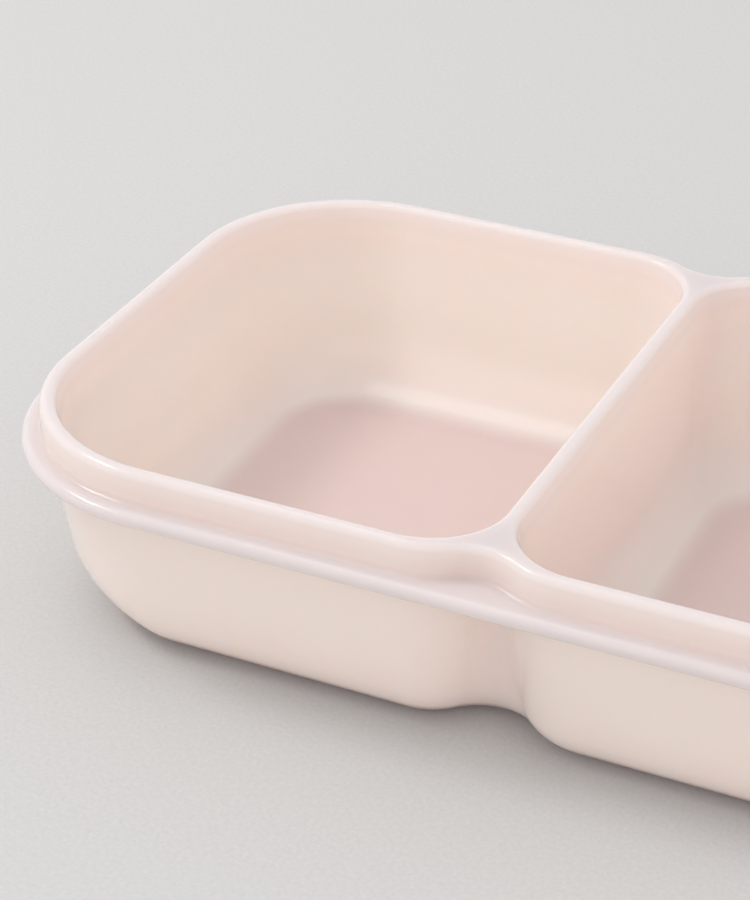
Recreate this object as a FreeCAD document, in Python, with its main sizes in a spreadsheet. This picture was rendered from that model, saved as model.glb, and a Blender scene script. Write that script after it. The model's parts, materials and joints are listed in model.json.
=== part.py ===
import FreeCAD, Part
import math
import os
import re

import Sketcher

# A two-compartment lunch box moulded in soft silicone, and its lift-off lid, in millimetres.
# +X runs along the length, +Z up; the origin is the middle of the underside, below the divider.
# The lid is drawn where it sits when closed, then laid upside down on the table beyond the +X end.

doc = FreeCAD.newDocument("LunchBox")
sheet = doc.addObject("Spreadsheet::Sheet", "Sizes")

drivingSizes = (
    ("rimLength", 191.6, "flange, overall length"),
    ("rimWidth", 120.0, "flange, overall width"),
    ("rimCorner", 34.6, "flange, corner radius in plan"),
    ("rimThickness", 3.0, "flange, thickness"),
    ("rimRound", 1.3, "flange, rounding of its edge"),
    ("ledgeWidth", 3.4, "flange, reach beyond the collar"),
    ("ledgeRound", 0.8, "fillet where the collar and the wall meet the flange"),
    ("boxHeight", 40.0, "table to the top of the lip"),
    ("collarHeight", 6.0, "collar, height above the flange"),
    ("lipThickness", 2.9, "collar and top of the divider, thickness"),
    ("lipRound", 1.3, "rounding along both edges of the lip"),
    ("waistDepth", 3.6, "collar's waist beside the divider, depth"),
    ("waistShoulder", 16.5, "collar's waist, outer turn radius"),
    ("waistHollow", 10.6, "collar's waist, inner turn radius"),
    ("neckDepth", 6.3, "wall's waist under the flange, depth"),
    ("neckShoulder", 17.7, "wall's waist, outer turn radius"),
    ("neckHollow", 3.7, "wall's waist, inner turn radius"),
    ("wallSetback", 1.1, "outer wall inside the collar's face, under the flange"),
    ("wallDraft", 9.5, "outer wall, draft in degrees"),
    ("bottomRound", 11.0, "outer bottom edge, radius"),
    ("floorThickness", 2.8, "compartment floor, thickness"),
    ("cavityDraft", 8.5, "compartment side, draft in degrees"),
    ("dividerDraft", 6.0, "divider face, draft in degrees"),
    ("cavityCorner", 13.3, "compartment corner beside the divider, radius"),
    ("floorRound", 11.0, "compartment floor fillet, radius"),
    ("seatGap", 0.3, "closed lid above the flange and above the lip"),
    ("lidClearance", 0.9, "lid's skirt around the collar"),
    ("lidPlate", 2.2, "lid, plate thickness"),
    ("lidRound", 1.8, "lid, rounding of its top edge"),
    ("panelInset", 8.0, "lid's raised panel inside the lid's edge"),
    ("panelRise", 2.0, "lid's raised panel, height"),
    ("panelRound", 1.2, "lid's raised panel, rounding"),
    ("ribSetback", 2.6, "lid's ribs inside the compartment's mouth"),
    ("ribWidth", 2.0, "lid's ribs, width"),
    ("ribDepth", 1.2, "lid's ribs, depth below the plate"),
    ("tabReach", 12.0, "pull tab beyond the lid's end"),
    ("tabWidth", 30.0, "pull tab, width"),
    ("tabCorner", 9.0, "pull tab, corner radius"),
    ("tabThickness", 2.6, "pull tab, thickness"),
    ("tabRound", 0.9, "pull tab, rounding of its edge"),
    ("lidGap", 30.0, "table between the box and the lid laid beside it"),
)
for row, (alias, value, note) in enumerate(drivingSizes, start=1):
    sheet.set("A%d" % row, note)
    sheet.set("B%d" % row, str(value))
    sheet.setAlias("B%d" % row, alias)
doc.recompute()


aliases = [alias for alias, value, note in drivingSizes]


def sized(formula):
    """A formula in the sheet's aliases, written as an expression."""
    return re.sub(r"\b(%s)\b" % "|".join(aliases), r"Sizes.\1", formula)


nearEnough = 0.01

# levels and outlines that several features share, all as formulas of the sizes above
ledgeLevel = "( boxHeight - collarHeight )"
wallLevel = "( boxHeight - collarHeight - rimThickness )"
seatLevel = "( boxHeight - collarHeight + seatGap )"
plateLevel = "( boxHeight + seatGap )"
lidTop = "( boxHeight + seatGap + lidPlate + panelRise )"
collarLength = "( rimLength / 2 - ledgeWidth )"
collarWidth = "( rimWidth / 2 - ledgeWidth )"
collarCorner = "( rimCorner - ledgeWidth )"
mouthEnd = "( rimLength / 2 - ledgeWidth - lipThickness )"
mouthWidth = "( rimWidth / 2 - ledgeWidth - lipThickness )"
mouthCorner = "( rimCorner - ledgeWidth - lipThickness )"
wallLean = "( ( boxHeight - floorThickness ) * tan(cavityDraft) )"
dividerLean = "( ( boxHeight - floorThickness ) * tan(dividerDraft) )"


def placeSketch(body, name, level):
    """An empty sketch on the body's XY plane, raised to a level."""
    sketch = body.newObject("Sketcher::SketchObject", name)
    plane = [item for item in body.Origin.OriginFeatures if item.Role == "XY_Plane"][0]
    sketch.AttachmentSupport = [(plane, "")]
    sketch.MapMode = "FlatFace"
    sketch.setExpression("AttachmentOffset.Base.z", sized(level))
    return sketch


def hold(sketch, constraint, formula):
    """Adds a constraint whose value follows a formula."""
    number = sketch.addConstraint(constraint)
    sketch.renameConstraint(number, "size%d" % number)
    sketch.setExpression("Constraints.size%d" % number, sized(formula))


def joinSmoothly(sketch, loop):
    """Ties each edge of a closed loop to the next, end to end and tangent."""
    for here, (edge, forward) in enumerate(loop):
        nextEdge, nextForward = loop[(here + 1) % len(loop)]
        sketch.addConstraint(Sketcher.Constraint(
            "Tangent", edge, 2 if forward else 1, nextEdge, 1 if nextForward else 2))


def addLine(sketch, startX, startY, endX, endY):
    start = FreeCAD.Vector(startX, startY, 0)
    end = FreeCAD.Vector(endX, endY, 0)
    return sketch.addGeometry(Part.LineSegment(start, end))


def addArc(sketch, centreX, centreY, radius, startTurn, endTurn):
    """A counter-clockwise arc between two directions in degrees."""
    circle = Part.Circle(FreeCAD.Vector(centreX, centreY, 0), FreeCAD.Vector(0, 0, 1), radius)
    return sketch.addGeometry(Part.ArcOfCircle(circle, math.radians(startTurn), math.radians(endTurn)))


def roundedOutline(sketch, low, high, halfWidth, lowCorner, highCorner):
    """A rounded rectangle from x = low to x = high, the same on both sides of the X axis."""
    def value(formula):
        return float(sketch.evalExpression(sized(formula)))
    left, right, back = value(low), value(high), value(halfWidth)
    leftRadius, rightRadius = value(lowCorner), value(highCorner)
    rightSide = addLine(sketch, right, rightRadius - back, right, back - rightRadius)
    rightBack = addArc(sketch, right - rightRadius, back - rightRadius, rightRadius, 0, 90)
    backSide = addLine(sketch, right - rightRadius, back, left + leftRadius, back)
    leftBack = addArc(sketch, left + leftRadius, back - leftRadius, leftRadius, 90, 180)
    leftSide = addLine(sketch, left, back - leftRadius, left, leftRadius - back)
    leftFront = addArc(sketch, left + leftRadius, leftRadius - back, leftRadius, 180, 270)
    frontSide = addLine(sketch, left + leftRadius, -back, right - rightRadius, -back)
    rightFront = addArc(sketch, right - rightRadius, rightRadius - back, rightRadius, 270, 360)
    loop = (rightSide, rightBack, backSide, leftBack, leftSide, leftFront, frontSide, rightFront)
    joinSmoothly(sketch, [(edge, True) for edge in loop])
    for edge in (backSide, frontSide):
        sketch.addConstraint(Sketcher.Constraint("Horizontal", edge))
    for edge in (rightSide, leftSide):
        sketch.addConstraint(Sketcher.Constraint("Vertical", edge))
    hold(sketch, Sketcher.Constraint("DistanceX", -1, 1, rightSide, 1, right), high)
    hold(sketch, Sketcher.Constraint("DistanceX", -1, 1, leftSide, 1, left), low)
    hold(sketch, Sketcher.Constraint("DistanceY", -1, 1, backSide, 1, back), halfWidth)
    hold(sketch, Sketcher.Constraint("DistanceY", frontSide, 1, -1, 1, back), halfWidth)
    for corner in (rightBack, rightFront):
        hold(sketch, Sketcher.Constraint("Radius", corner, rightRadius), highCorner)
    for corner in (leftBack, leftFront):
        hold(sketch, Sketcher.Constraint("Radius", corner, leftRadius), lowCorner)


def waistedOutline(sketch, halfLength, halfWidth, corner, depth, shoulder, hollow):
    """A rounded rectangle pulled in at the middle of both long sides.

    Each waist is one hollow arc between two shoulder arcs, all tangent.
    """
    def value(formula):
        return float(sketch.evalExpression(sized(formula)))
    endX, sideY, radius = value(halfLength), value(halfWidth), value(corner)
    outerRadius, innerRadius, dip = value(shoulder), value(hollow), value(depth)
    reach = outerRadius + innerRadius
    shoulderX = math.sqrt(reach ** 2 - (reach - dip) ** 2)
    lean = math.degrees(math.asin(shoulderX / reach))
    hollowY = sideY - dip + innerRadius
    rightSide = addLine(sketch, endX, radius - sideY, endX, sideY - radius)
    leftSide = addLine(sketch, -endX, sideY - radius, -endX, radius - sideY)
    backRight = addArc(sketch, endX - radius, sideY - radius, radius, 0, 90)
    backLeft = addArc(sketch, radius - endX, sideY - radius, radius, 90, 180)
    frontLeft = addArc(sketch, radius - endX, radius - sideY, radius, 180, 270)
    frontRight = addArc(sketch, endX - radius, radius - sideY, radius, 270, 360)
    backFromRight = addLine(sketch, endX - radius, sideY, shoulderX, sideY)
    backToLeft = addLine(sketch, -shoulderX, sideY, radius - endX, sideY)
    frontFromLeft = addLine(sketch, radius - endX, -sideY, -shoulderX, -sideY)
    frontToRight = addLine(sketch, shoulderX, -sideY, endX - radius, -sideY)
    shoulderY = sideY - outerRadius
    backShoulderRight = addArc(sketch, shoulderX, shoulderY, outerRadius, 90, 90 + lean)
    backShoulderLeft = addArc(sketch, -shoulderX, shoulderY, outerRadius, 90 - lean, 90)
    frontShoulderLeft = addArc(sketch, -shoulderX, -shoulderY, outerRadius, 270, 270 + lean)
    frontShoulderRight = addArc(sketch, shoulderX, -shoulderY, outerRadius, 270 - lean, 270)
    backHollow = addArc(sketch, 0, hollowY, innerRadius, 270 - lean, 270 + lean)
    frontHollow = addArc(sketch, 0, -hollowY, innerRadius, 90 - lean, 90 + lean)
    joinSmoothly(sketch, (
        (rightSide, True), (backRight, True), (backFromRight, True), (backShoulderRight, True),
        (backHollow, False), (backShoulderLeft, True), (backToLeft, True), (backLeft, True),
        (leftSide, True), (frontLeft, True), (frontFromLeft, True), (frontShoulderLeft, True),
        (frontHollow, False), (frontShoulderRight, True), (frontToRight, True), (frontRight, True)))
    for edge in (backFromRight, backToLeft, frontFromLeft, frontToRight):
        sketch.addConstraint(Sketcher.Constraint("Horizontal", edge))
    for edge in (rightSide, leftSide):
        sketch.addConstraint(Sketcher.Constraint("Vertical", edge))
    hold(sketch, Sketcher.Constraint("DistanceX", -1, 1, rightSide, 1, endX), halfLength)
    hold(sketch, Sketcher.Constraint("DistanceX", leftSide, 1, -1, 1, endX), halfLength)
    for edge in (backFromRight, backToLeft):
        hold(sketch, Sketcher.Constraint("DistanceY", -1, 1, edge, 1, sideY), halfWidth)
    for edge in (frontFromLeft, frontToRight):
        hold(sketch, Sketcher.Constraint("DistanceY", edge, 1, -1, 1, sideY), halfWidth)
    for edge in (backRight, backLeft, frontLeft, frontRight):
        hold(sketch, Sketcher.Constraint("Radius", edge, radius), corner)
    for edge in (backShoulderRight, backShoulderLeft, frontShoulderLeft, frontShoulderRight):
        hold(sketch, Sketcher.Constraint("Radius", edge, outerRadius), shoulder)
    for edge in (backHollow, frontHollow):
        hold(sketch, Sketcher.Constraint("Radius", edge, innerRadius), hollow)
        sketch.addConstraint(Sketcher.Constraint("PointOnObject", edge, 3, -2))
    hollowCentre = "%s - %s + %s" % (halfWidth, depth, hollow)
    hold(sketch, Sketcher.Constraint("DistanceY", -1, 1, backHollow, 3, hollowY), hollowCentre)
    hold(sketch, Sketcher.Constraint("DistanceY", frontHollow, 3, -1, 1, hollowY), hollowCentre)


def raisePad(body, name, sketch, length, down=False):
    pad = body.newObject("PartDesign::Pad", name)
    pad.Profile = sketch
    pad.setExpression("Length", sized(length))
    pad.Reversed = down
    doc.recompute()
    return pad


def edgesAtLevel(shape, level, wanted=lambda box: True):
    """Names of the level edges at a height whose bounding box passes a test."""
    names = []
    for number, edge in enumerate(shape.Edges, start=1):
        box = edge.BoundBox
        flat = abs(box.ZMin - level) < nearEnough and abs(box.ZMax - level) < nearEnough
        if flat and wanted(box):
            names.append("Edge%d" % number)
    return names


def roundEdges(body, name, edges, radius):
    base = body.Tip
    fillet = body.newObject("PartDesign::Fillet", name)
    fillet.Base = (base, edges)
    fillet.setExpression("Radius", sized(radius))
    doc.recompute()
    return fillet


def read(formula):
    """The present value of a formula, for picking edges."""
    return float(sheet.evalExpression(sized(formula)))


def chamberOutline(sketch, side, near, far, halfWidth, nearCorner, farCorner):
    """A rounded rectangle on one side of the divider, from x = near to x = far outwards."""
    if side > 0:
        roundedOutline(sketch, near, far, halfWidth, nearCorner, farCorner)
    else:
        roundedOutline(sketch, "0 - %s" % far, "0 - %s" % near, halfWidth, farCorner, nearCorner)


# the box: tapering walls under a flat flange, with an upright collar round the mouth on top
box = doc.addObject("PartDesign::Body", "Box")
box.Label = "container"

wallTop = placeSketch(box, "WallTop", wallLevel)
waistedOutline(wallTop, collarLength + " - wallSetback", collarWidth + " - wallSetback",
               collarCorner + " - wallSetback", "neckDepth", "neckShoulder", "neckHollow")
walls = raisePad(box, "Walls", wallTop, wallLevel, down=True)
walls.setExpression("TaperAngle", sized("0 - wallDraft"))
rim = placeSketch(box, "Rim", wallLevel)
roundedOutline(rim, "0 - rimLength / 2", "rimLength / 2", "rimWidth / 2", "rimCorner", "rimCorner")
raisePad(box, "Flange", rim, "rimThickness")
collarFoot = placeSketch(box, "CollarFoot", ledgeLevel)
waistedOutline(collarFoot, collarLength, collarWidth, collarCorner,
               "waistDepth", "waistShoulder", "waistHollow")
raisePad(box, "Collar", collarFoot, "collarHeight")

# each compartment is a loft from its mouth down to its floor, steeper along the divider
for side, sideName in ((-1, "Left"), (1, "Right")):
    mouth = placeSketch(box, sideName + "Mouth", "boxHeight")
    chamberOutline(mouth, side, "( lipThickness / 2 )", mouthEnd, mouthWidth, "cavityCorner", mouthCorner)
    floor = placeSketch(box, sideName + "Floor", "floorThickness")
    chamberOutline(floor, side, "( lipThickness / 2 + %s )" % dividerLean,
                   "( %s - %s )" % (mouthEnd, wallLean), "( %s - %s )" % (mouthWidth, wallLean),
                   "cavityCorner", "( %s - %s )" % (mouthCorner, wallLean))
    volumeBefore = box.Tip.Shape.Volume
    chamber = box.newObject("PartDesign::SubtractiveLoft", sideName + "Compartment")
    chamber.Profile = mouth
    chamber.Sections = [floor]
    chamber.Ruled = True
    doc.recompute()
    if chamber.Shape.Volume >= volumeBefore:
        raise RuntimeError("the %s compartment cut nothing" % sideName.lower())


def onRim(edgeBox):
    """True for an edge that lies on the flange's outer outline."""
    alongX = max(abs(edgeBox.XMin), abs(edgeBox.XMax)) > read("rimLength / 2") - nearEnough
    alongY = max(abs(edgeBox.YMin), abs(edgeBox.YMax)) > read("rimWidth / 2") - nearEnough
    return alongX or alongY


def besideRim(edgeBox):
    return not onRim(edgeBox)


roundEdges(box, "FloorFillet", edgesAtLevel(box.Tip.Shape, read("floorThickness")), "floorRound")
roundEdges(box, "BottomEdge", edgesAtLevel(box.Tip.Shape, 0), "bottomRound")
roundEdges(box, "LipEdge", edgesAtLevel(box.Tip.Shape, read("boxHeight")), "lipRound")
for fillet, wanted, radius in (("FlangeEdge", onRim, "rimRound"), ("LedgeFillet", besideRim, "ledgeRound")):
    edges = [name for level in (wallLevel, ledgeLevel)
             for name in edgesAtLevel(box.Tip.Shape, read(level), wanted)]
    roundEdges(box, fillet, edges, radius)

# the lid: a plate with a raised panel, a skirt that sits round the collar, ribs and a pull tab
lid = doc.addObject("PartDesign::Body", "Lid")
lid.Label = "lid"

skirtFoot = placeSketch(lid, "SkirtFoot", seatLevel)
roundedOutline(skirtFoot, "0 - rimLength / 2", "rimLength / 2", "rimWidth / 2", "rimCorner", "rimCorner")
raisePad(lid, "Plate", skirtFoot, "collarHeight + lidPlate")
panelFoot = placeSketch(lid, "PanelFoot", plateLevel)
panelEnd = "( rimLength / 2 - panelInset )"
panelSide = "( rimWidth / 2 - panelInset )"
panelCorner = "( rimCorner - panelInset )"
roundedOutline(panelFoot, "0 - " + panelEnd, panelEnd, panelSide, panelCorner, panelCorner)
raisePad(lid, "Panel", panelFoot, "lidPlate + panelRise")
roundEdges(lid, "PanelEdge", edgesAtLevel(lid.Tip.Shape, read(lidTop)), "panelRound")
roundEdges(lid, "TopEdge", edgesAtLevel(lid.Tip.Shape, read(plateLevel + " + lidPlate"), onRim), "lidRound")


def cutUp(body, name, sketch, depth):
    """A pocket from a sketch upwards; it must take something away."""
    volumeBefore = body.Tip.Shape.Volume
    pocket = body.newObject("PartDesign::Pocket", name)
    pocket.Profile = sketch
    pocket.Reversed = True
    pocket.setExpression("Length", sized(depth))
    doc.recompute()
    if pocket.Shape.Volume >= volumeBefore:
        raise RuntimeError("the pocket %s cut nothing" % name)


seat = placeSketch(lid, "Seat", seatLevel)
waistedOutline(seat, collarLength + " + lidClearance", collarWidth + " + lidClearance",
               collarCorner + " + lidClearance", "waistDepth", "waistShoulder + lidClearance",
               "waistHollow - lidClearance")
cutUp(lid, "CollarSeat", seat, "collarHeight")

# under the lid, a rib goes down inside each compartment's mouth round a shallow tray
for side, sideName in ((-1, "Left"), (1, "Right")):
    loops = []
    for inset, edgeName in (("ribSetback", "Outer"), ("( ribSetback + ribWidth )", "Inner")):
        loop = placeSketch(lid, sideName + "Rib" + edgeName, plateLevel + " - ribDepth")
        chamberOutline(loop, side, "( lipThickness / 2 + %s )" % inset, "( %s - %s )" % (mouthEnd, inset),
                       "( %s - %s )" % (mouthWidth, inset), "( cavityCorner - %s )" % inset,
                       "( %s - %s )" % (mouthCorner, inset))
        loops.append(loop)
    raisePad(lid, sideName + "Rib", loops[0], "ribDepth + lidPlate / 2")
    cutUp(lid, sideName + "Tray", loops[1], "ribDepth + panelRise")

# the tab's inner end is buried in the skirt, short of the collar's seat
tab = placeSketch(lid, "Tab", seatLevel)
tabRoot = "( rimLength / 2 - ( ledgeWidth - lidClearance ) / 2 )"
roundedOutline(tab, "0 - ( rimLength / 2 + tabReach )", "0 - " + tabRoot, "tabWidth / 2",
               "tabCorner", "( ( ledgeWidth - lidClearance ) / 4 )")
raisePad(lid, "PullTab", tab, "tabThickness")


def beyondRim(edgeBox):
    return edgeBox.XMin < -read("rimLength / 2") - nearEnough


tabEdges = [name for level in (seatLevel, seatLevel + " + tabThickness")
            for name in edgesAtLevel(lid.Tip.Shape, read(level), beyondRim)]
roundEdges(lid, "TabEdge", tabEdges, "tabRound")

# laid beside the box, turned over about the Y direction, resting on its raised panel
lid.Placement = FreeCAD.Placement(FreeCAD.Vector(), FreeCAD.Rotation(FreeCAD.Vector(0, 1, 0), 180))
lid.setExpression(".Placement.Base.x", sized("rimLength + lidGap"))
lid.setExpression(".Placement.Base.z", sized(lidTop))
doc.recompute()

for item in doc.Objects:
    if "Invalid" in item.State or "Error" in item.State:
        raise RuntimeError("%s did not build" % item.Name)
pieces = (box, lid)
for piece in pieces:
    if piece.Shape.isNull() or not piece.Shape.isValid() or len(piece.Shape.Solids) != 1:
        raise RuntimeError("%s is not one sound solid" % piece.Label)

os.makedirs("parts", exist_ok=True)
for piece in pieces:
    piece.Shape.exportStep("parts/%s.step" % piece.Label)
    print(piece.Label, round(piece.Shape.Volume), piece.Shape.BoundBox)
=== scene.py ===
import json
import math

import bmesh
import bpy
import numpy as np
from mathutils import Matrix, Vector


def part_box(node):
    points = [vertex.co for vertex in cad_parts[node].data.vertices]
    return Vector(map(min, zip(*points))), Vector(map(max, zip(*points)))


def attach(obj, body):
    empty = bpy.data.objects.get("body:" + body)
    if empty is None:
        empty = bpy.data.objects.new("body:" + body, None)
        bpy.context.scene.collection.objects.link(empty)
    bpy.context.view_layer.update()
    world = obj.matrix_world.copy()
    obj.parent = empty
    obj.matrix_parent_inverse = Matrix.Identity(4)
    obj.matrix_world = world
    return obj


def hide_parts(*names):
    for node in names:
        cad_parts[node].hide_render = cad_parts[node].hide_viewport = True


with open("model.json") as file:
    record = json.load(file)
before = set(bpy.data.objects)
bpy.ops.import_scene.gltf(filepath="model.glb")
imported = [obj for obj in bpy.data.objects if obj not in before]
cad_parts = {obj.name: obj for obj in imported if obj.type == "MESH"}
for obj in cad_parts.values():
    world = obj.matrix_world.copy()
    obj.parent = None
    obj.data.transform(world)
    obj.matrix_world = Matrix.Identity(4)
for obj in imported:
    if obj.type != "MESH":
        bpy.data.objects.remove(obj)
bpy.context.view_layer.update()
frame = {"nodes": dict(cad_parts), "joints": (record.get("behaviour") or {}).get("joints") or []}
mm = 0.001
print("frame loaded: " + ", ".join(sorted(frame["nodes"])))

# sizes shared by the box and its lid, in millimetres and degrees
boxSizes = {
    "rimBead": 1.45,       # radius of the flange's edge
    "ledge": 3.4,          # flange beyond the collar
    "collar": 6.0,         # collar above the flange
    "lip": 2.9,            # thickness of the collar and the divider's top
    "lipRound": 1.35,
    "rimCorner": 34.6,
    "waist": (3.6, 16.5, 10.6),   # dip, shoulder radius, hollow radius, at the collar
    "neck": (6.3, 17.7, 3.7),     # the same, at the top of the wall
    "ledgeFillet": 1.0,
    "rimUnder": 1.6,       # fillet between the flange and the wall
    "wallSetback": 1.1,
    "wallDraft": 9.5,
    "bottomRound": 9.6,
    "cornerBottomRound": 16.0,    # the same edge, at the middle of the four corners
    "floor": 2.8,
    "cavityDraft": 8.5,
    "dividerDraft": 6.0,
    "innerCorner": 13.3,   # beside the divider
    "floorRound": 15.0,    # along the outer walls
    "dividerRound": 11.5,
    "edgeFade": 4.0,       # from the lip's rounding down to full wall thickness
}

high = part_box("container")[1]
rimEnd = high.x / mm
rimSide = high.y / mm
lipTop = high.z / mm
collarEnd = rimEnd - boxSizes["ledge"]
collarSide = rimSide - boxSizes["ledge"]
collarCorner = boxSizes["rimCorner"] - boxSizes["ledge"]
mouthEnd = collarEnd - boxSizes["lip"]
mouthSide = collarSide - boxSizes["lip"]
mouthCorner = collarCorner - boxSizes["lip"]
ledgeLevel = lipTop - boxSizes["collar"]

# painted light: how much of the paler, cooler edge colour each part gets, standing in for light
# passing through thin silicone, from 0 for a wall to 1 for a free edge, where the outlines change
edgeLightShare = {
    "edge": 1.0,
    "collarTop": 0.5,
    "collar": 0.35,
    "collarFoot": 0.3,
    "ledge": 0.75,
    "flange": 1.5,         # over 1, so that the flange's edge stays at 1 for most of its round
    "underFlange": 0.3,
    "mouthTop": 0.4,
    "lidFoot": 0.8,
}

# samples along each stretch of the outline, the same on every outline so that points match
steps = {"hollow": 12, "shoulder": 18, "straight": 26, "corner": 34, "end": 48, "divider": 30}
waistCount = steps["hollow"] + steps["shoulder"]
outerCount = 2 * (waistCount + steps["straight"] + steps["corner"]) + steps["end"]
turnCount = steps["divider"] // 3

# rows on each rounding and each straight stretch of the section
rounds = {"lip": 9, "ledgeFillet": 7, "flange": 15, "rimUnder": 8, "bottom": 16, "foot": 6,
          "top": 9, "panelFoot": 6, "panel": 8, "footInside": 5, "ceiling": 7, "rib": 5, "tray": 9}
runs = {"collar": 5, "ledge": 5, "underFlange": 4, "wall": 12, "skirt": 4,
        "cavityWall": 22, "cavityFloor": 20}
inwardShares = (0.97, 0.85, 0.6, 0.3, 0)   # rows that close a flat face towards its middle
flatShares = (0.06, 0.5, 0.94)             # rows near the borders of a flat strip keep it flat

# in millimetres: points nearer than mergeGap are one, an edge under sliver is dropped, and a point
# is on a straight side when it is within sideGap of it
mergeGap, sliver, sideGap = 0.0004, 0.0001, 0.001


def arcPoints(centre, radius, startTurn, endTurn, count):
    # points of a circle between two directions in degrees, the last one left out
    turn = np.radians(np.linspace(startTurn, endTurn, count, endpoint=False))
    return np.stack([centre[0] + radius * np.cos(turn), centre[1] + radius * np.sin(turn)], axis=1)


def linePoints(start, end, count):
    # evenly spaced points of a straight run, the last one left out
    share = np.linspace(0, 1, count, endpoint=False)[:, None]
    return np.asarray(start, float) * (1 - share) + np.asarray(end, float) * share


def waistedHalf(endX, sideY, corner, dip, shoulder, hollow):
    # left half of a rounded rectangle whose long sides are pulled in at x = 0, from the back middle
    # round the -X end to the front middle. The waist's arcs touch where their centres line up, so
    # the shoulder's centre is sqrt((shoulder + hollow)^2 - (shoulder + hollow - dip)^2) from x = 0.
    reach = shoulder + hollow
    shoulderX = math.sqrt(max(reach ** 2 - (reach - dip) ** 2, 0))
    lean = math.degrees(math.asin(shoulderX / reach))
    hollowY = sideY - dip + hollow
    shoulderY = sideY - shoulder
    turnX, turnY = endX - corner, sideY - corner
    return np.concatenate([
        arcPoints((0, hollowY), hollow, 270, 270 - lean, steps["hollow"]),
        arcPoints((-shoulderX, shoulderY), shoulder, 90 - lean, 90, steps["shoulder"]),
        linePoints((-shoulderX, sideY), (-turnX, sideY), steps["straight"]),
        arcPoints((-turnX, turnY), corner, 90, 180, steps["corner"]),
        linePoints((-endX, turnY), (-endX, -turnY), steps["end"]),
        arcPoints((-turnX, -turnY), corner, 180, 270, steps["corner"]),
        linePoints((-turnX, -sideY), (-shoulderX, -sideY), steps["straight"]),
        arcPoints((-shoulderX, -shoulderY), shoulder, 270, 270 + lean, steps["shoulder"]),
        arcPoints((0, -hollowY), hollow, 90 + lean, 90, steps["hollow"]),
    ])


def bothHalves(half):
    # the right half is the left one turned half round
    return np.concatenate([half, -half])


def straightHalf(endX, sideY, corner, waistX):
    # left half of a rounded rectangle with no waist; waistX gives x where the waisted outlines bend
    turnX, turnY = endX - corner, sideY - corner
    startX = waistX[waistCount]
    return np.concatenate([
        np.stack([waistX[:waistCount], np.full(waistCount, sideY)], axis=1),
        linePoints((startX, sideY), (-turnX, sideY), steps["straight"]),
        arcPoints((-turnX, turnY), corner, 90, 180, steps["corner"]),
        linePoints((-endX, turnY), (-endX, -turnY), steps["end"]),
        arcPoints((-turnX, -turnY), corner, 180, 270, steps["corner"]),
        linePoints((-turnX, -sideY), (startX, -sideY), steps["straight"]),
        np.stack([waistX[-waistCount:], np.full(waistCount, -sideY)], axis=1),
    ])


def chamberLoop(near, far, side, nearCorner, farCorner, split):
    # outline of the left compartment: the part along the outer wall first, then the part along the
    # divider. split is the direction in degrees, on the corner arc, where one becomes the other.
    nearX, farX = near + nearCorner, far - farCorner
    nearY, farY = side - nearCorner, side - farCorner
    return np.concatenate([
        arcPoints((-nearX, nearY), nearCorner, split, 90, waistCount),
        linePoints((-nearX, side), (-farX, side), steps["straight"]),
        arcPoints((-farX, farY), farCorner, 90, 180, steps["corner"]),
        linePoints((-far, farY), (-far, -farY), steps["end"]),
        arcPoints((-farX, -farY), farCorner, 180, 270, steps["corner"]),
        linePoints((-farX, -side), (-nearX, -side), steps["straight"]),
        arcPoints((-nearX, -nearY), nearCorner, 270, 360 - split, waistCount),
        arcPoints((-nearX, -nearY), nearCorner, 360 - split, 360, turnCount),
        linePoints((-near, -nearY), (-near, nearY), steps["divider"]),
        arcPoints((-nearX, nearY), nearCorner, 0, split, turnCount),
    ])


def outward(loop):
    # unit normals of a closed counter-clockwise loop, from the chord between each point's two
    # neighbours
    chord = np.roll(loop, -1, axis=0) - np.roll(loop, 1, axis=0)
    normal = np.stack([chord[:, 1], -chord[:, 0]], axis=1)
    return normal / np.linalg.norm(normal, axis=1, keepdims=True)


def cornerShare(loop, normal):
    # 1 in the middle of each of the four corners and 0 on the straights and the waist: a sine of
    # how near the normal is to the diagonal
    slant = np.degrees(np.arctan2(np.abs(normal[:, 1]), np.abs(normal[:, 0])))
    diagonal = 1 - np.abs(slant - 45) / 45
    return np.where(np.abs(loop[:, 0]) > collarEnd / 2, np.sin(diagonal * math.pi / 2), 0)


def between(start, end, share):
    # the straight blend of two numbers or two loops
    return start * (1 - share) + end * share


def atLevel(loop, level, thin=0.0):
    # a loop of x, y points lifted to one level, or to a level of its own for each point, with the
    # share of painted edge light there (how thin the piece is) as the fourth number
    level, thin = np.broadcast_to(level, (len(loop),)), np.full(len(loop), thin)
    return np.concatenate([loop, level[:, None], thin[:, None]], axis=1)


def edgeArc(radius, startTurn, endTurn, count):
    # a rounded edge between an upright face (0 degrees) and a level one (90): for each direction,
    # how far in it is from the upright, radius * (1 - cos), and how far down, radius * (1 - sin)
    turns = np.linspace(startTurn, endTurn, count)
    reach, drop = 1 - np.cos(np.radians(turns)), 1 - np.sin(np.radians(turns))
    return zip(turns, radius * reach, radius * drop)


def closeFlat(rows, level):
    # rows that shrink the last loop to the middle of its face, all at one level
    edge = rows[-1][:, :2]
    centre = (edge.max(axis=0) + edge.min(axis=0)) / 2
    rows += [atLevel(centre + (edge - centre) * share, level) for share in inwardShares]
    return np.stack(rows)


def filletInset(level, top, floor, radius, draft):
    # how far in a drafted wall stands at a level, with an arc of the given radius into the floor:
    # a straight lean down to the tangent point, then the circle
    lean = math.tan(math.radians(draft))
    tangentLevel = floor + radius * (1 - math.sin(math.radians(draft)))
    centre = (top - tangentLevel) * lean + radius * math.cos(math.radians(draft))
    drop = np.clip(1 - (level - floor) / radius, 0, 1)
    arc = centre - radius * np.sqrt(1 - drop ** 2)
    return np.where(level > tangentLevel, (top - level) * lean, arc)


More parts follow.
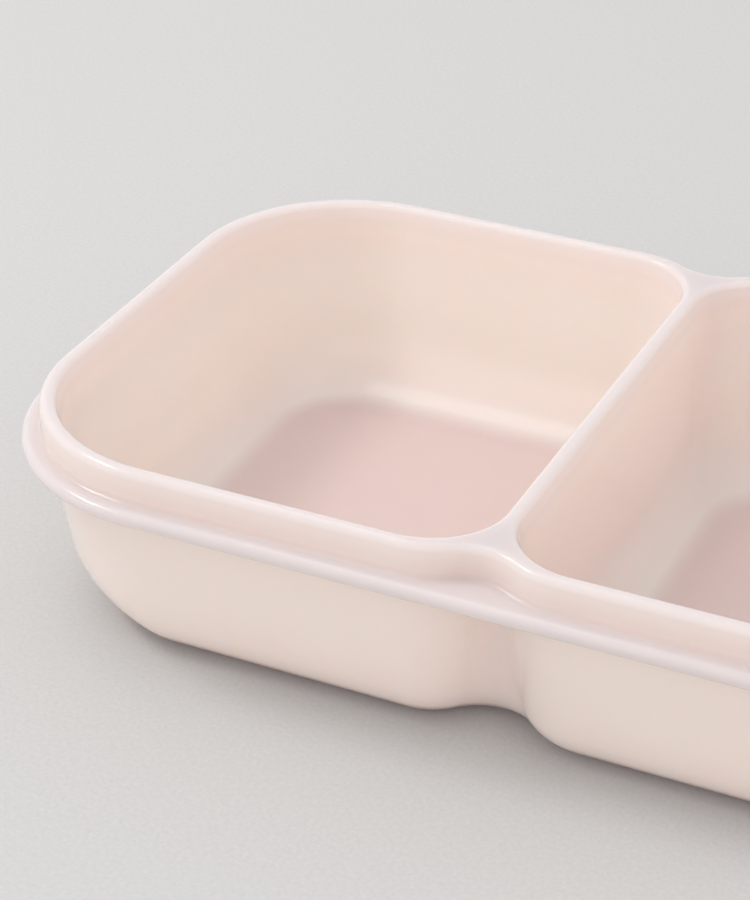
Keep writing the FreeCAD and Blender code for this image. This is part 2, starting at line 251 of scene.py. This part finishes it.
def filletLevels(top, floor, radius):
    # levels from the top of a wall down to its floor, close together where it turns
    turn = np.linspace(math.pi / 2, 0, runs["cavityFloor"])
    arc = floor + radius * (1 - np.cos(turn))
    wall = np.linspace(top, floor + radius, runs["cavityWall"], endpoint=False)
    return np.concatenate([wall, arc])


def gridFaces(rows, columns, start):
    # quads between neighbouring rows of a grid closed on itself, as vertex numbers
    row, column = np.meshgrid(np.arange(rows - 1), np.arange(columns), indexing="ij")
    here = start + row * columns + column
    beside = start + row * columns + (column + 1) % columns
    return np.stack([here, beside, beside + columns, here + columns], axis=-1).reshape(-1, 4)


def meshFromGrids(name, grids, place=None):
    # joins closed grids of points (rows x columns x 4, in millimetres) into one mesh in metres,
    # with the fourth number, the share of painted edge light, as a point attribute
    points, faces, start = [], [], 0
    for grid in grids:
        rows, columns = grid.shape[:2]
        points.append(grid.reshape(-1, 4))
        faces.append(gridFaces(rows, columns, start))
        start += rows * columns
    points = np.concatenate(points)
    spots = points[:, :3] if place is None else place(points)
    mesh = bpy.data.meshes.new(name)
    mesh.from_pydata((spots * mm).tolist(), [], np.concatenate(faces).tolist())
    edge_light_share = mesh.attributes.new("edge_light_share", "FLOAT", "POINT")
    edge_light_share.data.foreach_set("value", np.ascontiguousarray(points[:, 3], dtype=np.float32))
    work = bmesh.new()
    work.from_mesh(mesh)
    bmesh.ops.remove_doubles(work, verts=work.verts, dist=mergeGap * mm)
    bmesh.ops.dissolve_degenerate(work, edges=work.edges, dist=sliver * mm)
    bmesh.ops.recalc_face_normals(work, faces=work.faces)
    for face in work.faces:
        face.smooth = True
    openEdges = sum(not edge.is_manifold for edge in work.edges)
    print("%s: %d faces, %d open edges" % (name, len(work.faces), openEdges))
    work.to_mesh(mesh)
    work.free()
    piece = bpy.data.objects.new(name, mesh)
    bpy.context.scene.collection.objects.link(piece)
    return piece


# the box: an outer skin and two compartments that meet along the middle of the lip

def lipSplit():
    # the point on x = 0 that is as far from the waist's hollow as from both compartments' corners,
    # and its direction from the corner's centre
    dip = boxSizes["waist"][0]
    corner = boxSizes["innerCorner"]
    centreX = boxSizes["lip"] / 2 + corner
    centreY = mouthSide - corner
    total = collarSide - dip + corner - centreY
    rise = (total ** 2 - centreX ** 2) / (2 * total)
    return centreY + rise, math.degrees(math.atan2(rise, centreX))


def dividerLine(inner, meet):
    # points of x = 0 that face the divider's side of a compartment's loop, from y = -meet to meet
    dividerInner = inner[outerCount:]
    pull = np.zeros(len(dividerInner))
    pull[:turnCount] = np.linspace(1, 0, turnCount, endpoint=False)
    pull[-turnCount:] = np.linspace(0, 1, turnCount, endpoint=False)
    spare = meet - abs(dividerInner[0, 1])
    along = dividerInner[:, 1] + pull * np.sign(dividerInner[:, 1]) * spare
    return np.stack([np.zeros(len(along)), along], axis=1)


def lipMiddle(outer, inner, meet):
    # the middle line of the lip round the left compartment. Near the divider it is drawn towards
    # the meeting point, with a smooth share.
    share = np.zeros(outerCount)
    share[:waistCount] = np.linspace(1, 0, waistCount, endpoint=False)
    share[-waistCount:] = np.linspace(0, 1, waistCount, endpoint=False)
    share = share * share * (3 - 2 * share)
    middle = (outer + inner[:outerCount]) / 2
    back, front = np.array([0, meet]), np.array([0, -meet])
    firstMiddle, lastMiddle = middle[0], middle[0] * (1, -1)
    half = outerCount // 2
    middle[:half] += share[:half, None] * (back - firstMiddle)
    middle[half:] += share[half:, None] * (front - lastMiddle)
    return middle


def boxOutside(middle, collarHalf):
    # from the lip's middle over its edge, down the collar, round the flange and down to the bottom
    sizes = boxSizes
    rimHalf = straightHalf(rimEnd, rimSide, sizes["rimCorner"], collarHalf[:, 0])
    collarLine, rimLine = bothHalves(collarHalf), bothHalves(rimHalf)
    collarOut, rimOut = outward(collarLine), outward(rimLine)
    lipRound, fillet, bead = sizes["lipRound"], sizes["ledgeFillet"], sizes["rimBead"]
    rows = [atLevel(bothHalves(middle), lipTop, edgeLightShare["edge"])]
    for turn, reach, drop in edgeArc(lipRound, 90, 0, rounds["lip"]):
        thin = between(edgeLightShare["collarTop"], edgeLightShare["edge"], turn / 90)
        rows.append(atLevel(collarLine - collarOut * reach, lipTop - drop, thin))
    for level in np.linspace(lipTop - lipRound, ledgeLevel + fillet, runs["collar"])[1:-1]:
        rows.append(atLevel(collarLine, level, edgeLightShare["collar"]))
    for turn, reach, drop in edgeArc(fillet, 0, 90, rounds["ledgeFillet"]):
        thin = between(edgeLightShare["collarFoot"], edgeLightShare["ledge"], turn / 90)
        rows.append(atLevel(collarLine + collarOut * reach, ledgeLevel + drop, thin))
    # across the ledge to the flange's edge, a half circle, and back under it
    ledgeStart, ledgeEnd = rows[-1][:, :2], rimLine - rimOut * bead
    for share in np.linspace(0, 1, runs["ledge"])[1:-1]:
        thin = between(edgeLightShare["ledge"], edgeLightShare["edge"], share)
        rows.append(atLevel(between(ledgeStart, ledgeEnd, share), ledgeLevel, thin))
    for turn, reach, drop in edgeArc(bead, 90, -90, rounds["flange"]):
        thin = min(between(edgeLightShare["underFlange"], edgeLightShare["flange"], (turn + 90) / 180), 1)
        rows.append(atLevel(rimLine - rimOut * reach, ledgeLevel - drop, thin))
    # the wall, with a fillet under the flange: its outline moved in along its normals by the
    # draft, so the waist keeps its centre
    under = ledgeLevel - 2 * bead
    setback = sizes["wallSetback"]
    wallLine = bothHalves(waistedHalf(collarEnd - setback, collarSide - setback,
                                      collarCorner - setback, *sizes["neck"]))
    wallOut = outward(wallLine)
    underRound = sizes["rimUnder"]
    draft = math.radians(sizes["wallDraft"])
    for share in np.linspace(0, 1, runs["underFlange"])[1:-1]:
        thin = between(edgeLightShare["underFlange"], 0, share)
        rows.append(atLevel(between(ledgeEnd, wallLine + wallOut * underRound, share), under, thin))
    for turn, reach, drop in edgeArc(underRound, 90, 0, rounds["rimUnder"]):
        rows.append(atLevel(wallLine + wallOut * (reach - drop * math.tan(draft)), under - drop))
    # the bottom edge: a circle whose radius grows round the corners, tangent to the leaning wall
    bottomRound = between(sizes["bottomRound"], sizes["cornerBottomRound"],
                          cornerShare(wallLine, wallOut))
    tangentLevel = bottomRound * (1 - math.sin(draft))
    for share in np.linspace(0, 1, runs["wall"])[1:-1]:
        level = between(under - underRound, tangentLevel, share)
        inset = (under - level) * math.tan(draft)
        rows.append(atLevel(wallLine - wallOut * inset[:, None], level))
    centreInset = (under - tangentLevel) * math.tan(draft) + bottomRound * math.cos(draft)
    for turn in np.linspace(draft, math.pi / 2, rounds["bottom"]):
        inset = centreInset - bottomRound * math.cos(turn)
        level = bottomRound * (1 - math.sin(turn))
        rows.append(atLevel(wallLine - wallOut * inset[:, None], level))
    return closeFlat(rows, 0)


def boxChamber(middle, mouth, meet, split):
    # the left compartment: from the lip's middle over its inner edge, down the sides to the floor
    sizes = boxSizes
    lipRound = sizes["lipRound"]
    mouthOut = outward(mouth)
    first = np.concatenate([middle, dividerLine(mouth, meet)])
    rows = [atLevel(first, lipTop, edgeLightShare["edge"])]
    for turn, reach, drop in edgeArc(lipRound, 90, 0, rounds["lip"]):
        thin = between(edgeLightShare["mouthTop"], edgeLightShare["edge"], turn / 90)
        rows.append(atLevel(mouth + mouthOut * reach, lipTop - drop, thin))
    levels = filletLevels(lipTop - lipRound, sizes["floor"], sizes["floorRound"])
    sideIn = filletInset(levels, lipTop, sizes["floor"], sizes["floorRound"],
                         sizes["cavityDraft"])
    dividerIn = filletInset(levels, lipTop, sizes["floor"], sizes["dividerRound"],
                            sizes["dividerDraft"])
    for level, inset, nearInset in zip(levels[1:], sideIn[1:], dividerIn[1:]):
        fade = max(1 - (lipTop - lipRound - level) / sizes["edgeFade"], 0)
        loop = chamberLoop(sizes["lip"] / 2 + nearInset, mouthEnd - inset, mouthSide - inset,
                           sizes["innerCorner"], mouthCorner - inset, split)
        rows.append(atLevel(loop, level, edgeLightShare["mouthTop"] * fade))
    return closeFlat(rows, sizes["floor"])


def boxPiece():
    meet, split = lipSplit()
    collarHalf = waistedHalf(collarEnd, collarSide, collarCorner, *boxSizes["waist"])
    mouth = chamberLoop(boxSizes["lip"] / 2, mouthEnd, mouthSide, boxSizes["innerCorner"],
                        mouthCorner, split)
    middle = lipMiddle(collarHalf, mouth, meet)
    leftChamber = boxChamber(middle, mouth, meet, split)
    rightChamber = leftChamber * (-1, -1, 1, 1)
    outside = boxOutside(middle, collarHalf)
    return meshFromGrids("silicone_box", [outside, leftChamber, rightChamber])


# the lid, worked out where it sits when closed and then turned over about the stand-in hinge
lidSizes = {
    "seatGap": 0.3,        # above the ledge and above the lip
    "clearance": 0.9,      # round the collar
    "plate": 2.2,
    "topRound": 1.8,
    "footRound": 0.5,
    "ceilingRound": 0.9,
    "panelInset": 8.0,
    "panelRise": 2.0,
    "panelRound": 1.2,
    "panelFoot": 0.8,
    "ribSetback": 2.6,
    "ribWidth": 2.0,
    "ribDepth": 1.2,
    "ribRound": 0.5,
    "trayRound": 1.4,
    "tabReach": 12.0,
    "tabHalfWidth": 15.0,
    "tabThick": 2.6,
    "tabRise": 0.05,       # how much the tab's upper face rises to the skirt
    "tabSquareness": 3.2,  # power of the tab's superellipse
}

lidFoot = ledgeLevel + lidSizes["seatGap"]
ceiling = lipTop + lidSizes["seatGap"]
plateTop = ceiling + lidSizes["plate"]
panelTop = plateTop + lidSizes["panelRise"]


def lidRim(inset, waistX):
    # the skirt's outline, moved in by inset
    return bothHalves(straightHalf(rimEnd - inset, rimSide - inset, boxSizes["rimCorner"] - inset,
                                   waistX))


def withTab(loop, inset):
    # pushes the middle of the -X end out to a tab: root points at y = halfWidth * turn / 90 degrees
    # go to the superellipse x = reach * cos(turn)^(2/n), y = halfWidth * sin(turn)^(2/n)
    half, reach = lidSizes["tabHalfWidth"], lidSizes["tabReach"]
    power = 2 / lidSizes["tabSquareness"]
    onTab = (loop[:, 0] < -(rimEnd - inset) + sideGap) & (np.abs(loop[:, 1]) < half)
    turn = np.where(onTab, loop[:, 1] / half, 0) * math.pi / 2
    outX = reach * np.cos(turn) ** power
    outY = (half - inset) * np.sign(turn) * np.abs(np.sin(turn)) ** power
    pushed = np.stack([loop[:, 0] - outX, outY], axis=1)
    return np.where(onTab[:, None], pushed, loop), onTab


def lidOutside(seat, seatOut, waistX):
    # across the foot, round the tab, up the skirt and over the top to the middle
    sizes = lidSizes
    footRound, topRound, thin = sizes["footRound"], sizes["topRound"], edgeLightShare["lidFoot"]
    footStart = seat + seatOut * footRound
    footEnd = withTab(lidRim(footRound, waistX), footRound)[0]
    rows = [atLevel(between(footStart, footEnd, share), lidFoot, thin)
            for share in (0, *flatShares)]
    for turn, inset, drop in edgeArc(footRound, 90, 0, rounds["foot"]):
        rows.append(atLevel(withTab(lidRim(inset, waistX), inset)[0], lidFoot + drop, thin))
    tabTop = lidFoot + sizes["tabThick"]
    skirt = lidRim(0, waistX)
    tabbed, onTab = withTab(skirt, 0)
    for turn, inset, drop in edgeArc(footRound, 0, 90, rounds["foot"]):
        shrunk = withTab(lidRim(inset, waistX), inset)[0]
        rows.append(atLevel(np.where(onTab[:, None], shrunk, tabbed), tabTop - drop, thin))
    tabEdge = rows[-1][:, :2]
    for share in (*flatShares, 1):
        level = tabTop + sizes["tabRise"] * share
        rows.append(atLevel(between(tabEdge, skirt, share), level, between(thin, 0, share)))
    for level in np.linspace(tabTop, plateTop - topRound, runs["skirt"])[1:-1]:
        rows.append(atLevel(skirt, level))
    for turn, inset, drop in edgeArc(topRound, 0, 90, rounds["top"]):
        rows.append(atLevel(lidRim(inset, waistX), plateTop - drop))
    panelInset = sizes["panelInset"]
    for turn, reach, rise in edgeArc(sizes["panelFoot"], 90, 0, rounds["panelFoot"]):
        rows.append(atLevel(lidRim(panelInset - reach, waistX), plateTop + rise))
    for turn, reach, drop in edgeArc(sizes["panelRound"], 0, 90, rounds["panel"]):
        rows.append(atLevel(lidRim(panelInset + reach, waistX), panelTop - drop))
    return closeFlat(rows, panelTop)


def lidSkirtInside(seat, seatOut):
    # from the foot up the inside of the skirt to the ceiling
    rows = []
    for turn, reach, rise in edgeArc(lidSizes["footRound"], 90, 0, rounds["footInside"]):
        thin = edgeLightShare["lidFoot"] * turn / 90
        rows.append(atLevel(seat + seatOut * reach, lidFoot + rise, thin))
    for turn, reach, drop in edgeArc(lidSizes["ceilingRound"], 0, 90, rounds["ceiling"]):
        rows.append(atLevel(seat - seatOut * reach, ceiling - drop))
    return np.stack(rows)


def lidTray(ceilingHalf):
    # under the left half: from the ceiling down round the rib, up into the tray and to its middle
    sizes = lidSizes
    split = lipSplit()[1]
    setback, ribRound, trayRound = sizes["ribSetback"], sizes["ribRound"], sizes["trayRound"]
    ribFoot = ceiling - sizes["ribDepth"]
    innerInset = setback + sizes["ribWidth"]
    tray = ceiling + sizes["panelRise"]

    def ribLoop(inset):
        return chamberLoop(boxSizes["lip"] / 2 + inset, mouthEnd - inset, mouthSide - inset,
                           boxSizes["innerCorner"] - inset, mouthCorner - inset, split)

    line = dividerLine(ribLoop(setback), abs(ceilingHalf[0, 1]))
    rows = [atLevel(np.concatenate([ceilingHalf, line]), ceiling)]
    for turn, reach, drop in edgeArc(ribRound, 90, 0, rounds["rib"]):
        rows.append(atLevel(ribLoop(setback - reach), ceiling - drop))
    for turn, reach, rise in edgeArc(ribRound, 0, 90, rounds["rib"]):
        rows.append(atLevel(ribLoop(setback + reach), ribFoot + rise))
    for turn, reach, rise in edgeArc(ribRound, 90, 0, rounds["rib"]):
        rows.append(atLevel(ribLoop(innerInset - reach), ribFoot + rise))
    for turn, reach, drop in edgeArc(trayRound, 0, 90, rounds["tray"]):
        rows.append(atLevel(ribLoop(innerInset + reach), tray - drop))
    return closeFlat(rows, tray)


def lidPiece():
    dip, shoulder, hollow = boxSizes["waist"]
    clearance = lidSizes["clearance"]
    seatHalf = waistedHalf(collarEnd + clearance, collarSide + clearance, collarCorner + clearance,
                           dip, shoulder + clearance, hollow - clearance)
    seat = bothHalves(seatHalf)
    seatOut = outward(seat)
    skirtInside = lidSkirtInside(seat, seatOut)
    leftTray = lidTray(skirtInside[-1, :outerCount, :2])
    rightTray = leftTray * (-1, -1, 1, 1)
    hinge = np.array(frame["joints"][0]["pos_m"]) / mm

    def turnOver(points):
        # half a turn about the Y direction through the hinge: x and z change sides, y stays
        return np.stack([2 * hinge[0] - points[:, 0], points[:, 1], 2 * hinge[2] - points[:, 2]],
                        axis=1)

    outside = lidOutside(seat, seatOut, seatHalf[:, 0])
    return meshFromGrids("silicone_lid", [outside, skirtInside, leftTray, rightTray], turnOver)


# materials

def toLinear(hexColour):
    # an sRGB hex colour as linear red, green, blue and a full alpha
    parts = [int(hexColour[i:i + 2], 16) / 255 for i in (1, 3, 5)]
    return [p / 12.92 if p <= 0.04045 else ((p + 0.055) / 1.055) ** 2.4 for p in parts] + [1.0]


def addNode(tree, kind, settings=None, links=None):
    # one node: settings are properties or input values by name, links are inputs fed by sockets.
    # A number in place of a name is an input's place, for Mix nodes, whose names repeat.
    node = tree.nodes.new(kind)
    for name, value in (settings or {}).items():
        if isinstance(name, int) or name in node.inputs:
            node.inputs[name].default_value = value
        else:
            setattr(node, name, value)
    for name, socket in (links or {}).items():
        tree.links.new(socket, node.inputs[name])
    return node


mixShare, mixFirst, mixSecond, mixResult = 0, 6, 7, 2   # a Mix node's sockets for colours


def newMaterial(name):
    material = bpy.data.materials.new(name)
    material.use_nodes = True
    material.node_tree.nodes.clear()
    return material, material.node_tree


siliconeLook = {
    "ior": 1.41,
    "body": "#EFE4DF",
    "cloud": "#EDE1DB",
    "edge": "#D5CDCE",             # painted light: thin edges get this paler, cooler colour, standing in for light passing through them, which lets the red out and sends back a cooler white
    "scatterDepth": (4.0 * mm, 6.0 * mm),   # how far light runs in it: on the table, elsewhere
    "scatterTint": (1.0, 0.82, 0.74),
    "roughness": (0.09, 0.13),
    # painted shade: the low parts, thin or lying on the table where less light comes back, get a
    # darker, redder colour painted in; their colour, and the levels between which it gives way to
    # the rest
    "boxFloorShade": {"colour": "#DFCBC7", "levels": (2.85 * mm, 4.4 * mm)},
    "lidPlate": {"colour": "#E5D5D0", "levels": (4.4 * mm, 6.5 * mm)},
    "cloudScale": 1 / (18 * mm),   # faint drifts of pigment, about 18 mm across
    "cloudRange": (0.3, 0.7),      # the drifts' lightest and darkest, for the gloss
    "skinScale": 1 / (0.5 * mm),   # blasted mould skin, drawn as coarse as it needs to show
    "skinDepth": 0.004 * mm,
    "skinStrength": 0.5,
}


def moldedSilicone(name, lowShade):
    # food-grade silicone, compression moulded in a satin mould: milky, soft edges and a smooth low
    # gloss.
    # The glow where it is thin is painted light, a paler, cooler edge colour, and the low parts get
    # painted shade, a darker, redder colour
    look = siliconeLook
    material, tree = newMaterial(name)
    place = addNode(tree, "ShaderNodeTexCoord").outputs["Object"]
    cloud = addNode(tree, "ShaderNodeTexNoise",
                    {"Scale": look["cloudScale"], "Detail": 2.0, "Roughness": 0.5},
                    {"Vector": place})
    colour = addNode(tree, "ShaderNodeMix",
                     {"data_type": "RGBA", mixFirst: toLinear(look["body"]),
                      mixSecond: toLinear(look["cloud"])},
                     {mixShare: cloud.outputs["Fac"]})
    # painted shade: towards the low parts, by height, the colour gives way to the darker, redder
    # low colour
    level = addNode(tree, "ShaderNodeSeparateXYZ", links={"Vector": place})
    lift = addNode(tree, "ShaderNodeMapRange",
                   {"interpolation_type": "SMOOTHSTEP", "From Min": lowShade["levels"][0],
                    "From Max": lowShade["levels"][1]}, {"Value": level.outputs["Z"]})
    lowShaded = addNode(tree, "ShaderNodeMix",
                     {"data_type": "RGBA", mixFirst: toLinear(lowShade["colour"])},
                     {mixShare: lift.outputs["Result"], mixSecond: colour.outputs[mixResult]})
    # painted light: thin edges get the paler, cooler edge colour, by the per-point share of painted
    # edge light
    edge_light_share = addNode(tree, "ShaderNodeAttribute", {"attribute_name": "edge_light_share"})
    paintedLightColour = addNode(tree, "ShaderNodeMix",
                       {"data_type": "RGBA", mixSecond: toLinear(look["edge"])},
                       {mixShare: edge_light_share.outputs["Fac"], mixFirst: lowShaded.outputs[mixResult]})
    gloss = addNode(tree, "ShaderNodeMapRange",
                    {"From Min": look["cloudRange"][0], "From Max": look["cloudRange"][1],
                     "To Min": look["roughness"][0], "To Max": look["roughness"][1]},
                    {"Value": cloud.outputs["Fac"]})
    skin = addNode(tree, "ShaderNodeTexNoise", {"Scale": look["skinScale"], "Detail": 3.0},
                   {"Vector": place})
    bump = addNode(tree, "ShaderNodeBump",
                   {"Strength": look["skinStrength"], "Distance": look["skinDepth"]},
                   {"Height": skin.outputs["Fac"]})
    scatter = addNode(tree, "ShaderNodeMapRange",
                      {"To Min": look["scatterDepth"][0], "To Max": look["scatterDepth"][1]},
                      {"Value": lift.outputs["Result"]})
    shader = addNode(tree, "ShaderNodeBsdfPrincipled",
                     {"IOR": look["ior"], "Subsurface Weight": 1.0,
                      "Subsurface Radius": look["scatterTint"]},
                     {"Base Color": paintedLightColour.outputs[mixResult],
                      "Roughness": gloss.outputs["Result"],
                      "Subsurface Scale": scatter.outputs["Result"],
                      "Normal": bump.outputs["Normal"]})
    addNode(tree, "ShaderNodeOutputMaterial", links={"Surface": shader.outputs["BSDF"]})
    return material


boardLook = {
    "ior": 1.45,
    "dark": "#C2C2C1",
    "light": "#D6D5D5",
    "grainScale": 1 / (0.8 * mm),
    "grainDepth": 0.08 * mm,
    "grainStrength": 0.4,
    "roughness": 0.85,
    "size": 12,            # metres, out past the camera's view at every angle
}


def plasterBoard():
    # fine plastered board: matt, nearly even, a faint grain
    look = boardLook
    material, tree = newMaterial("pale_plaster_board")
    place = addNode(tree, "ShaderNodeTexCoord").outputs["Object"]
    grain = addNode(tree, "ShaderNodeTexNoise",
                    {"Scale": look["grainScale"], "Detail": 3.0, "Roughness": 0.6},
                    {"Vector": place})
    colour = addNode(tree, "ShaderNodeMix",
                     {"data_type": "RGBA", mixFirst: toLinear(look["dark"]),
                      mixSecond: toLinear(look["light"])},
                     {mixShare: grain.outputs["Fac"]})
    bump = addNode(tree, "ShaderNodeBump",
                   {"Strength": look["grainStrength"], "Distance": look["grainDepth"]},
                   {"Height": grain.outputs["Fac"]})
    shader = addNode(tree, "ShaderNodeBsdfPrincipled",
                     {"Roughness": look["roughness"], "IOR": look["ior"]},
                     {"Base Color": colour.outputs[mixResult], "Normal": bump.outputs["Normal"]})
    addNode(tree, "ShaderNodeOutputMaterial", links={"Surface": shader.outputs["BSDF"]})
    return material


boxMesh = boxPiece()
boxMesh.data.materials.append(moldedSilicone("molded_silicone_blush", siliconeLook["boxFloorShade"]))
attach(boxMesh, "box")
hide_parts("container")
print("box made")

lidMesh = lidPiece()
lidMesh.data.materials.append(
    moldedSilicone("molded_silicone_blush_lid", siliconeLook["lidPlate"]))
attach(lidMesh, "lid")
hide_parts("lid")
print("lid made")


# floor, light and camera

def makeFloor():
    bpy.ops.mesh.primitive_plane_add(size=boardLook["size"], location=(0, 0, 0))
    floor = bpy.context.active_object
    floor.name = "floor"
    floor.data.materials.append(plasterBoard())


# places and sizes in metres, power in watts
studio = {
    "sky": {"colour": "#FFFFFF", "strength": 0.89},
    "window": {"from": (-0.80, -0.20, 0.90), "size": (0.42, 0.24), "power": 3.6,
               "colour": "#FFFCF8"},
    "front": {"from": (0.2, -1.3, 0.7), "size": (1.6, 0.9), "power": 1.9, "colour": "#FFF0E8"},
    "overhead": {"from": (-0.45, -0.05, 1.25), "size": (0.5, 0.3), "power": 1.0,
                 "colour": "#FFFFFF"},
    "aim": (-0.02, 0.0, 0.02),
}


def areaLight(name):
    setup = studio[name]
    data = bpy.data.lights.new(name, "AREA")
    data.shape = "RECTANGLE"
    data.size, data.size_y = setup["size"]
    data.energy = setup["power"]
    data.color = toLinear(setup["colour"])[:3]
    light = bpy.data.objects.new(name, data)
    light.location = setup["from"]
    aim = Vector(studio["aim"]) - light.location
    light.rotation_euler = aim.to_track_quat("-Z", "Y").to_euler()
    bpy.context.scene.collection.objects.link(light)


def makeLight():
    world = bpy.data.worlds.new("studio")
    world.use_nodes = True
    sky = world.node_tree.nodes["Background"]
    sky.inputs["Color"].default_value = toLinear(studio["sky"]["colour"])
    sky.inputs["Strength"].default_value = studio["sky"]["strength"]
    bpy.context.scene.world = world
    for name in ("window", "front", "overhead"):
        areaLight(name)


cameraSetup = {
    "target": (-0.0415, -0.0048, 0.0218),
    "azimuth": 25.1,       # degrees round from looking along +Y
    "elevation": 30.6,
    "distance": 0.4835,
    "lens": 108.1,         # millimetres, on a sensor 36 mm wide
    "sensor": 36,
    "roll": 0.18,
}


def makeCamera():
    setup = cameraSetup
    azimuth, elevation = math.radians(setup["azimuth"]), math.radians(setup["elevation"])
    back = Vector((math.sin(azimuth) * math.cos(elevation),
                   -math.cos(azimuth) * math.cos(elevation), math.sin(elevation)))
    data = bpy.data.cameras.new("camera")
    data.lens = setup["lens"]
    data.sensor_width = setup["sensor"]
    camera = bpy.data.objects.new("camera", data)
    camera.location = Vector(setup["target"]) + back * setup["distance"]
    camera.rotation_euler = (-back).to_track_quat("-Z", "Y").to_euler()
    camera.rotation_euler.rotate_axis("Z", math.radians(setup["roll"]))
    bpy.context.scene.collection.objects.link(camera)
    bpy.context.scene.camera = camera


makeFloor()
makeLight()
makeCamera()
bpy.context.scene.view_settings.view_transform = "Standard"
print("studio made")
